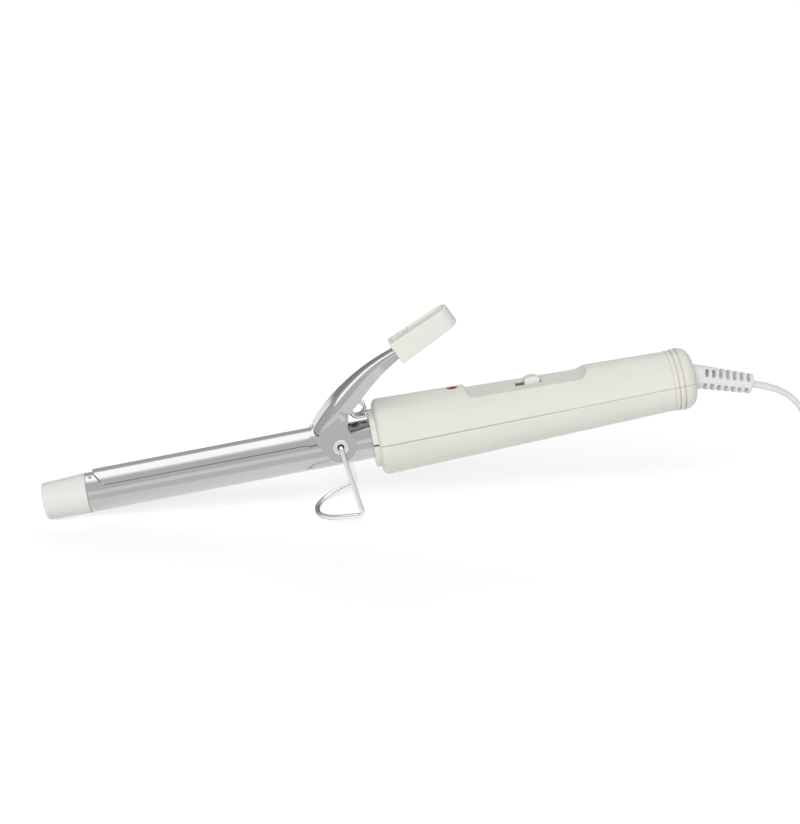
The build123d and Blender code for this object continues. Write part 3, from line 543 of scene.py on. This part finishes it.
# %% [markdown]
# A material is a shader with one of these groups in front of it. Whatever is the same all over the surface,
# such as the metal's full metallic value or the depth of the grain, stays on the shader's own socket.

# %% Making a material
finishes = {}


def finish_with(slot, group, values, bump_depth, settings):
    """A material for one of the record's slots: a group, a bump and a shader."""
    material = bpy.data.materials.new(slot + "_finish")
    material.use_nodes = True
    tree = material.node_tree
    shader = tree.nodes["Principled BSDF"]
    node = tree.nodes.new("ShaderNodeGroup")
    node.node_tree = group
    for title, value in values.items():
        node.inputs[title].default_value = value
    bump = tree.nodes.new("ShaderNodeBump")
    bump.inputs["Strength"].default_value = 1.0
    bump.inputs["Distance"].default_value = bump_depth / 1000
    tree.links.new(node.outputs["Colour"], shader.inputs["Base Color"])
    tree.links.new(node.outputs["Roughness"], shader.inputs["Roughness"])
    tree.links.new(node.outputs["Height"], bump.inputs["Height"])
    tree.links.new(bump.outputs["Normal"], shader.inputs["Normal"])
    for title, value in settings.items():
        shader.inputs[title].default_value = value
    finishes[slot] = material
    return material


slots = {part["material_slot"] for part in frame["record"]["subparts"]}
print("the record asks for", len(slots), "finishes")

# %% [markdown]
# Two short recipes fill that in, one for plastics and one for metals. A finish then says only its colour, how
# smooth and how rough its skin is, and where it differs from the usual.

# %% Two recipes
usual_grains, usual_clouds, usual_lines, usual_touch = 5000, 60, 3000, 45


def plastic(slot, colour, smooth, rough, grains=usual_grains, clouds=usual_clouds, depth=0.002,
            cloud_depth=0.97, **settings):
    """A moulded plastic of a screen colour."""
    values = {"Colour": screen(*colour), "Grains per metre": grains, "Clouds per metre": clouds}
    values.update({"Cloud depth": cloud_depth, "Smoothest": smooth, "Roughest": rough})
    return finish_with(slot, skin, values, depth, settings)


def metal(slot, colour, smooth, rough, stretch=(1, 1, 1), lines=usual_lines, touch=usual_touch,
          depth=0.0004, **settings):
    """A drawn, turned or plated metal of a screen colour."""
    values = {"Colour": screen(*colour), "Stretch": stretch, "Lines per metre": lines}
    values.update({"Touch per metre": touch, "Smoothest": smooth, "Roughest": rough})
    return finish_with(slot, polish, values, depth, {"Metallic": 1.0, **settings})


print("a grain is about", round(1000 / usual_grains, 2), "mm and a cloud", round(1000 / usual_clouds), "mm")

# %% [markdown]
# The handle, the tip and the thumb rest are a warm off-white plastic with a satin skin. The boot, the cord
# and the plug are soft vinyl, a little cooler and duller. The knob sits in a dark slot, on the switch.

# %% Plastics that show
plastic("handle_plastic", (230, 230, 221), 0.36, 0.44)
plastic("ivory_plastic", (230, 232, 226), 0.34, 0.42)
plastic("thumb_plastic", (234, 234, 226), 0.34, 0.42)
plastic("knob_plastic", (235, 236, 234), 0.36, 0.44)
plastic("boot_pvc", (228, 230, 232), 0.46, 0.56, grains=3500, depth=0.006)
plastic("cord_pvc", (226, 228, 230), 0.42, 0.54, grains=3500, clouds=30, depth=0.006, cloud_depth=0.95)
plastic("plug_pvc", (226, 228, 230), 0.42, 0.52, grains=3500, depth=0.006)
plastic("tie_plastic", (206, 208, 210), 0.40, 0.52, grains=6000)
plastic("switch_plastic", (104, 102, 90), 0.40, 0.52)
plastic("red_lens", (150, 20, 20), 0.3, 0.4, grains=2500, clouds=300, depth=0.003, cloud_depth=0.8,
        **{"Specular IOR Level": 0.15})
print("plastics:", sorted(finishes))

# %% [markdown]
# The barrel, the clamp and the stand are plated steel. The barrel was polished while it turned, so its
# lines run round it. The clamp was polished along its length, and the stand is drawn wire.

# %% Metals that show
metal("barrel_chrome", (196, 196, 196), 0.10, 0.16, stretch=(1, 0.02, 0.02), lines=5000)
metal("clamp_chrome", (196, 196, 196), 0.07, 0.12, stretch=(0.02, 1, 1), lines=5000)
# The stand's dark Specular Tint darkens the round wire's edges, a painted reflection.
metal("stand_chrome", (242, 242, 242), 0.08, 0.14, stretch=(0.05, 1, 1), lines=4000,
      **{"Specular Tint": screen(120, 120, 120)})
metal("eyelet_steel", (236, 236, 236), 0.10, 0.18, stretch=(1, 0.1, 1))
metal("pin_steel", (180, 180, 178), 0.16, 0.26)
metal("spring_steel", (236, 236, 236), 0.12, 0.2, lines=2500)
metal("screw_steel", (165, 164, 160), 0.22, 0.34, lines=3500)
metal("pin_nickel", (200, 196, 186), 0.12, 0.2, stretch=(0.05, 1, 1), lines=4000)
print("finishes so far:", len(finishes))

# %% [markdown]
# The pieces inside show only when someone opens the handle, and they get their own finishes too: sintered
# ceramic, extruded aluminium, pressed brass, mottled phenolic and silicone-sleeved wires.

# %% Finishes inside
plastic("bush_phenolic", (84, 60, 42), 0.45, 0.6, grains=3000, clouds=500, cloud_depth=0.7)
plastic("heater_ceramic", (222, 218, 204), 0.6, 0.75, grains=6000, clouds=250, depth=0.01, cloud_depth=0.92)
plastic("lead_insulation", (216, 210, 196), 0.5, 0.65, grains=4500, clouds=120, cloud_depth=0.92)
metal("spreader_aluminium", (205, 206, 208), 0.3, 0.42, stretch=(0.03, 1, 1), lines=3500, depth=0.001)
metal("terminal_brass", (196, 168, 96), 0.22, 0.34, stretch=(1, 0.1, 0.1))
metal("fuse_metal", (186, 186, 182), 0.2, 0.3)
plastic("lamp_glass", (226, 196, 176), 0.03, 0.08, clouds=200, depth=0.0005, **{"Transmission Weight": 0.85})
print("finishes:", len(finishes))

# %% [markdown]
# ## Painted shade and light in seams and grooves
# Some places on the plastic are painted darker, as painted shade where the seams, the slot and the grooves
# lie in shade, and the seam is also painted lighter where its own shade is taken back. A mask picks such a
# place: a value from 0 to 1 that is worked out by small arithmetic nodes. Limits are written in millimetres.

# %% Masks
def calc(tree, operation, first, second=0):
    """One step of arithmetic on numbers or node outputs."""
    node = tree.nodes.new("ShaderNodeMath")
    node.operation = operation
    for socket, value in zip(node.inputs, (first, second)):
        if isinstance(value, (int, float)):
            socket.default_value = value
        else:
            tree.links.new(value, socket)
    return node.outputs[0]


def below(tree, value, limit, soft):
    """1 where a value is below a limit, fading to 0 over a soft edge."""
    node = tree.nodes.new("ShaderNodeMapRange")
    node.interpolation_type = "SMOOTHSTEP"
    node.inputs["From Min"].default_value = limit / 1000
    node.inputs["From Max"].default_value = (limit + soft) / 1000
    node.inputs["To Min"].default_value = 1
    node.inputs["To Max"].default_value = 0
    tree.links.new(value, node.inputs["Value"])
    return node.outputs["Result"]


def close_to(tree, value, middle, half, soft):
    """1 where a value is within half a width of a middle, fading to 0 over a soft edge."""
    off_middle = calc(tree, "SUBTRACT", value, middle / 1000)
    return below(tree, calc(tree, "ABSOLUTE", off_middle), half, soft)


print("mask helpers: calc, below and close_to")

# %% [markdown]
# A mask then lays a tint over a colour. A Mix node has its colour sockets under the same names as its other
# sockets, so these go by number.

# %% Tints
mix_mask, mix_first, mix_second, mix_result = 0, 6, 7, 2


def tinted(tree, colour, mask, tint):
    """A colour with a screen colour laid over it where the mask is 1."""
    node = tree.nodes.new("ShaderNodeMix")
    node.data_type = "RGBA"
    node.inputs[mix_second].default_value = screen(*tint)
    tree.links.new(mask, node.inputs[mix_mask])
    tree.links.new(colour, node.inputs[mix_first])
    return node.outputs[mix_result]


print("a Mix node takes its colours at sockets", mix_first, "and", mix_second)

# %% [markdown]
# The places are found from the iron's own axes: along it, across it and above it. The material turns the
# object's coordinates back by the iron's lean to get them.

# %% The iron's axes in a material
def iron_axes(tree):
    """The place along, across and above the iron's axis, in metres, for a material."""
    turn = tree.nodes.new("ShaderNodeVectorRotate")
    turn.rotation_type = "Y_AXIS"
    turn.inputs["Angle"].default_value = iron_lean
    turn.inputs["Center"].default_value = tip_place / 1000
    tree.links.new(tree.nodes.new("ShaderNodeTexCoord").outputs["Object"], turn.inputs["Vector"])
    split = tree.nodes.new("ShaderNodeSeparateXYZ")
    tree.links.new(turn.outputs["Vector"], split.inputs[0])
    along = calc(tree, "SUBTRACT", split.outputs["X"], tip_place.x / 1000)
    return along, split.outputs["Y"], calc(tree, "SUBTRACT", split.outputs["Z"], tip_place.z / 1000)


def open_finish(slot):
    """A finish's node tree, its shader and the output that colours it."""
    tree = finishes[slot].node_tree
    shader = tree.nodes["Principled BSDF"]
    return tree, shader, shader.inputs["Base Color"].links[0].from_socket


tree, shader, colour = open_finish("handle_plastic")
along, across, above = iron_axes(tree)
print("the iron's axes take", len(tree.nodes), "nodes with the finish")

# %% [markdown]
# The two shells of the handle meet in a fine seam. It is tinted tan at the front and carries painted shade on
# the collar, where it is wider. Further back it is painted lighter than the handle, a painted highlight that
# takes back the groove's own shade, so it pales towards the rear.

# %% The handle's seam
seam = close_to(tree, above, middle=0, half=0.14, soft=0.10)
near_front = below(tree, along, limit=150, soft=80)
wide_seam = close_to(tree, above, middle=0, half=0.30, soft=0.08)
on_collar = below(tree, along, limit=handle_front, soft=0.1)
# painted highlight: the seam's groove is painted lighter than the handle, against its own shade
colour = tinted(tree, colour, seam, (250, 248, 238))
colour = tinted(tree, colour, calc(tree, "MULTIPLY", seam, near_front), (228, 222, 202))
# painted shade in the wider seam on the collar
colour = tinted(tree, colour, calc(tree, "MULTIPLY", wide_seam, on_collar), (120, 112, 92))
print("handle finish has", len(tree.nodes), "nodes with its seam")

# %% [markdown]
# The walls of the switch slot lie in shade. The slot is a box on the iron's axes, below the switch flat,
# which slopes with the handle.

# %% The switch slot
slot_middle, slot_half_long, slot_half_wide, slot_lip = 197.8, 5.3, 2.6, 0.30

slot_length = close_to(tree, along, slot_middle, slot_half_long, soft=0.2)
slot_width = close_to(tree, across, 0, slot_half_wide, soft=0.2)
flat_level = handle_front_r - flat_drop + handle_slope * handle_front
sloped = calc(tree, "ADD", above, calc(tree, "MULTIPLY", along, handle_slope))
under_flat = below(tree, sloped, flat_level - slot_lip, soft=0.20)
in_slot = calc(tree, "MULTIPLY", calc(tree, "MULTIPLY", slot_length, slot_width), under_flat)
# painted shade: the slot's walls are tinted darker where they lie in shade
colour = tinted(tree, colour, in_slot, (136, 132, 116))
print("handle finish has", len(tree.nodes), "nodes with its slot")

# %% [markdown]
# The handle ends in a step and two grooves, which show as one faint and two stronger lines round it. These
# lines are painted shade in the step and the grooves.

# %% The rear grooves
rear_grooves = (255.95, 258.05)

step_line = close_to(tree, along, band_start, half=0.12, soft=0.08)
# painted shade along the step
colour = tinted(tree, colour, step_line, (210, 208, 196))
for groove in rear_grooves:
    # painted shade in each groove
    colour = tinted(tree, colour, close_to(tree, along, groove, half=0.28, soft=0.08), (214, 210, 196))
tree.links.new(colour, shader.inputs["Base Color"])
print("handle finish has", len(tree.nodes), "nodes in all")

# %% [markdown]
# The tip meets the barrel at a thin shadow line, found the same way from the place along the iron.

# %% Shade at the tip's joint
tip_length = 18.0

tree, shader, colour = open_finish("ivory_plastic")
joint = close_to(tree, iron_axes(tree)[0], tip_length, half=0.22, soft=0.15)
tree.links.new(tinted(tree, colour, joint, (128, 134, 136)), shader.inputs["Base Color"])
print("tip finish has", len(tree.nodes), "nodes")

# %% [markdown]
# Each CAD node's record names its material slot, so the new finishes go into the nodes' material slots by
# that name. The new pieces take theirs the same way.

# %% Every piece gets its finish
for part in frame["record"]["subparts"]:
    node = nodes[part["node"]]
    for material_slot in node.material_slots:
        material_slot.material = finishes[part["material_slot"]]
new_pieces = [(cord, "cord_pvc"), (spring, "spring_steel")] + [(word, "handle_plastic") for word in words]
for piece, slot in new_pieces:
    piece.data.materials.clear()
    piece.data.materials.append(finishes[slot])
print("dressed", len(nodes), "nodes and", len(new_pieces), "new pieces")

# %% [markdown]
# ## The studio
# A surface can glow for some rays and not for others: Light Path tells what kind of ray has met it. The rays
# that end up in the picture come from the camera, or from the camera by way of metal or glass.

# %% Rays that are seen
mirror_rays = ("Is Glossy Ray", "Is Transmission Ray")


def seen_strength(tree, hidden, seen):
    """A strength for the rays that end up in the picture, and another for the rest."""
    path = tree.nodes.new("ShaderNodeLightPath")
    total = path.outputs["Is Camera Ray"]
    for title in mirror_rays:
        total = calc(tree, "MAXIMUM", total, path.outputs[title])
    node = tree.nodes.new("ShaderNodeMapRange")
    node.inputs["To Min"].default_value = hidden
    node.inputs["To Max"].default_value = seen
    tree.links.new(total, node.inputs["Value"])
    return node.outputs["Result"]


print("seen like camera rays:", mirror_rays)

# %% [markdown]
# The floor is a plain pale sheet. It is lit like anything else, so it keeps the iron's shadow, and it adds
# a little light of its own for the rays that are seen, which lifts it to white in the picture.

# %% The floor
floor_wide, floor_shade, floor_lift = 8, 0.9, 0.40

bpy.ops.object.select_all(action="DESELECT")
bpy.ops.mesh.primitive_plane_add(size=floor_wide)
floor = bpy.context.object
floor.name = "floor"
pale = bpy.data.materials.new("pale_floor")
pale.use_nodes = True
tree = pale.node_tree
tree.nodes.clear()
matt = tree.nodes.new("ShaderNodeBsdfDiffuse")
matt.inputs["Color"].default_value = (floor_shade, floor_shade, floor_shade, 1)
lift = tree.nodes.new("ShaderNodeEmission")
both = tree.nodes.new("ShaderNodeAddShader")
out = tree.nodes.new("ShaderNodeOutputMaterial")
tree.links.new(seen_strength(tree, 0.0, floor_lift), lift.inputs["Strength"])
tree.links.new(matt.outputs[0], both.inputs[0])
tree.links.new(lift.outputs[0], both.inputs[1])
tree.links.new(both.outputs[0], out.inputs["Surface"])
floor.data.materials.append(pale)
print("floor is", round(floor.dimensions.x, 1), "m wide")

# %% [markdown]
# Chrome shows only what stands round it. The bands along the barrel in the picture come from a bright
# softbox overhead, grey cards behind the table, a duller wall in front and a grey strip on the table before
# the iron. These cards are seen by mirrors alone: they neither light the iron nor show in the picture.

# %% Cards for the chrome
card_away, card_half_wide = 1.5, 2.0


def make_card(name, corners, strength):
    """A flat glowing card that only mirrors see."""
    bpy.ops.object.select_all(action="DESELECT")
    bpy.ops.mesh.primitive_plane_add(size=1)
    card = bpy.context.object
    card.name = name
    for vertex, corner in zip(card.data.vertices, corners):
        vertex.co = corner
    glow = bpy.data.materials.new(name)
    glow.use_nodes = True
    glow.node_tree.nodes.clear()
    light = glow.node_tree.nodes.new("ShaderNodeEmission")
    light.inputs["Strength"].default_value = strength
    target = glow.node_tree.nodes.new("ShaderNodeOutputMaterial")
    glow.node_tree.links.new(light.outputs[0], target.inputs["Surface"])
    card.data.materials.append(glow)
    card.visible_camera = card.visible_diffuse = card.visible_shadow = card.visible_transmission = False
    return card


def hang_card(name, low, high, strength):
    """A card along X between two angles, counted from the front up over the iron to the back."""
    edges = []
    for angle in (math.radians(low), math.radians(high)):
        edges.append(Vector((0, -math.cos(angle), math.sin(angle))) * card_away)
    side = Vector((card_half_wide, 0, 0))
    return make_card(name, [edges[0] - side, edges[0] + side, edges[1] - side, edges[1] + side], strength)


print("cards hang", card_away, "m from the iron and are", 2 * card_half_wide, "m wide")

# %% [markdown]
# The long cards hang round the iron like slices of a tunnel, each from one angle to the next, and the narrow
# ones between the main cards soften the steps. The strip's edge runs at a slant, because the iron's height
# over the table grows towards the cord. Two cards at the sides give the lever its darker edges. The round
# wire's darker edges are a painted reflection, from the dark edge tint in its finish.

# %% The cards in their places
hung = [
    ("front_card", 18, 70, 0.74),
    ("front_fade", 70, 77, 0.95),
    ("overhead_fade", 77, 83, 1.35),
    ("overhead_card", 83, 124, 1.72),
    ("rear_fade", 124, 130, 1.25),
    ("grey_card", 130, 166, 0.58),
    ("dark_card", 166, 178, 0.3),
]
strip_corners = [(-0.40, -0.50), (0.40, -0.50), (-0.40, 0.028), (0.40, -0.122)]
strip_height, strip_glow = 0.0004, 0.80
side_near, side_far, side_top, side_out, side_glow = -0.42, 0.35, 0.5, 0.6, 0.65

cards = [hang_card(*row) for row in hung]
cards.append(make_card("table_strip", [(x, y, strip_height) for x, y in strip_corners], strip_glow))
for name, x in (("left_card", -side_out), ("right_card", side_out)):
    corners = [(x, y, z) for z in (0, side_top) for y in (side_near, side_far)]
    cards.append(make_card(name, corners, side_glow))
print("cards:", [card.name for card in cards])

# %% [markdown]
# One broad light comes from before the iron, over the camera's shoulder, and a weaker one from behind fills
# the far side. Both are suns, whose light is the same everywhere, spread wide so that shadows are soft.

# %% Lamps
lamp_spread = 50


def broad_light(name, energy, direction):
    """A soft light from far off, in a direction, that metal doesn't show."""
    bpy.ops.object.select_all(action="DESELECT")
    bpy.ops.object.light_add(type="SUN")
    lamp = bpy.context.object
    lamp.name = name
    lamp.data.energy = energy
    lamp.data.angle = math.radians(lamp_spread)
    lamp.visible_glossy = False
    lamp.rotation_euler = Vector(direction).to_track_quat("-Z", "Y").to_euler()
    return lamp


lamps = [
    broad_light("front_light", 1.76, (0.25, 0.86, -0.42)),
    broad_light("back_light", 1.4, (-0.2, -0.94, -0.22)),
]
print("lamps:", [(lamp.name, round(lamp.data.energy, 2)) for lamp in lamps])

# %% [markdown]
# The rest of the light comes evenly from all round, from a world that is white to the rays that are seen.

# %% The world
sky_glow = 0.37

world = bpy.data.worlds.new("studio")
bpy.context.scene.world = world
world.use_nodes = True
sky = world.node_tree.nodes["Background"]
sky.inputs["Color"].default_value = (1, 1, 1, 1)
world.node_tree.links.new(seen_strength(world.node_tree, sky_glow, 1.0), sky.inputs["Strength"])
bpy.context.scene.view_settings.view_transform = "Standard"
print("the world lights the iron at", sky_glow)
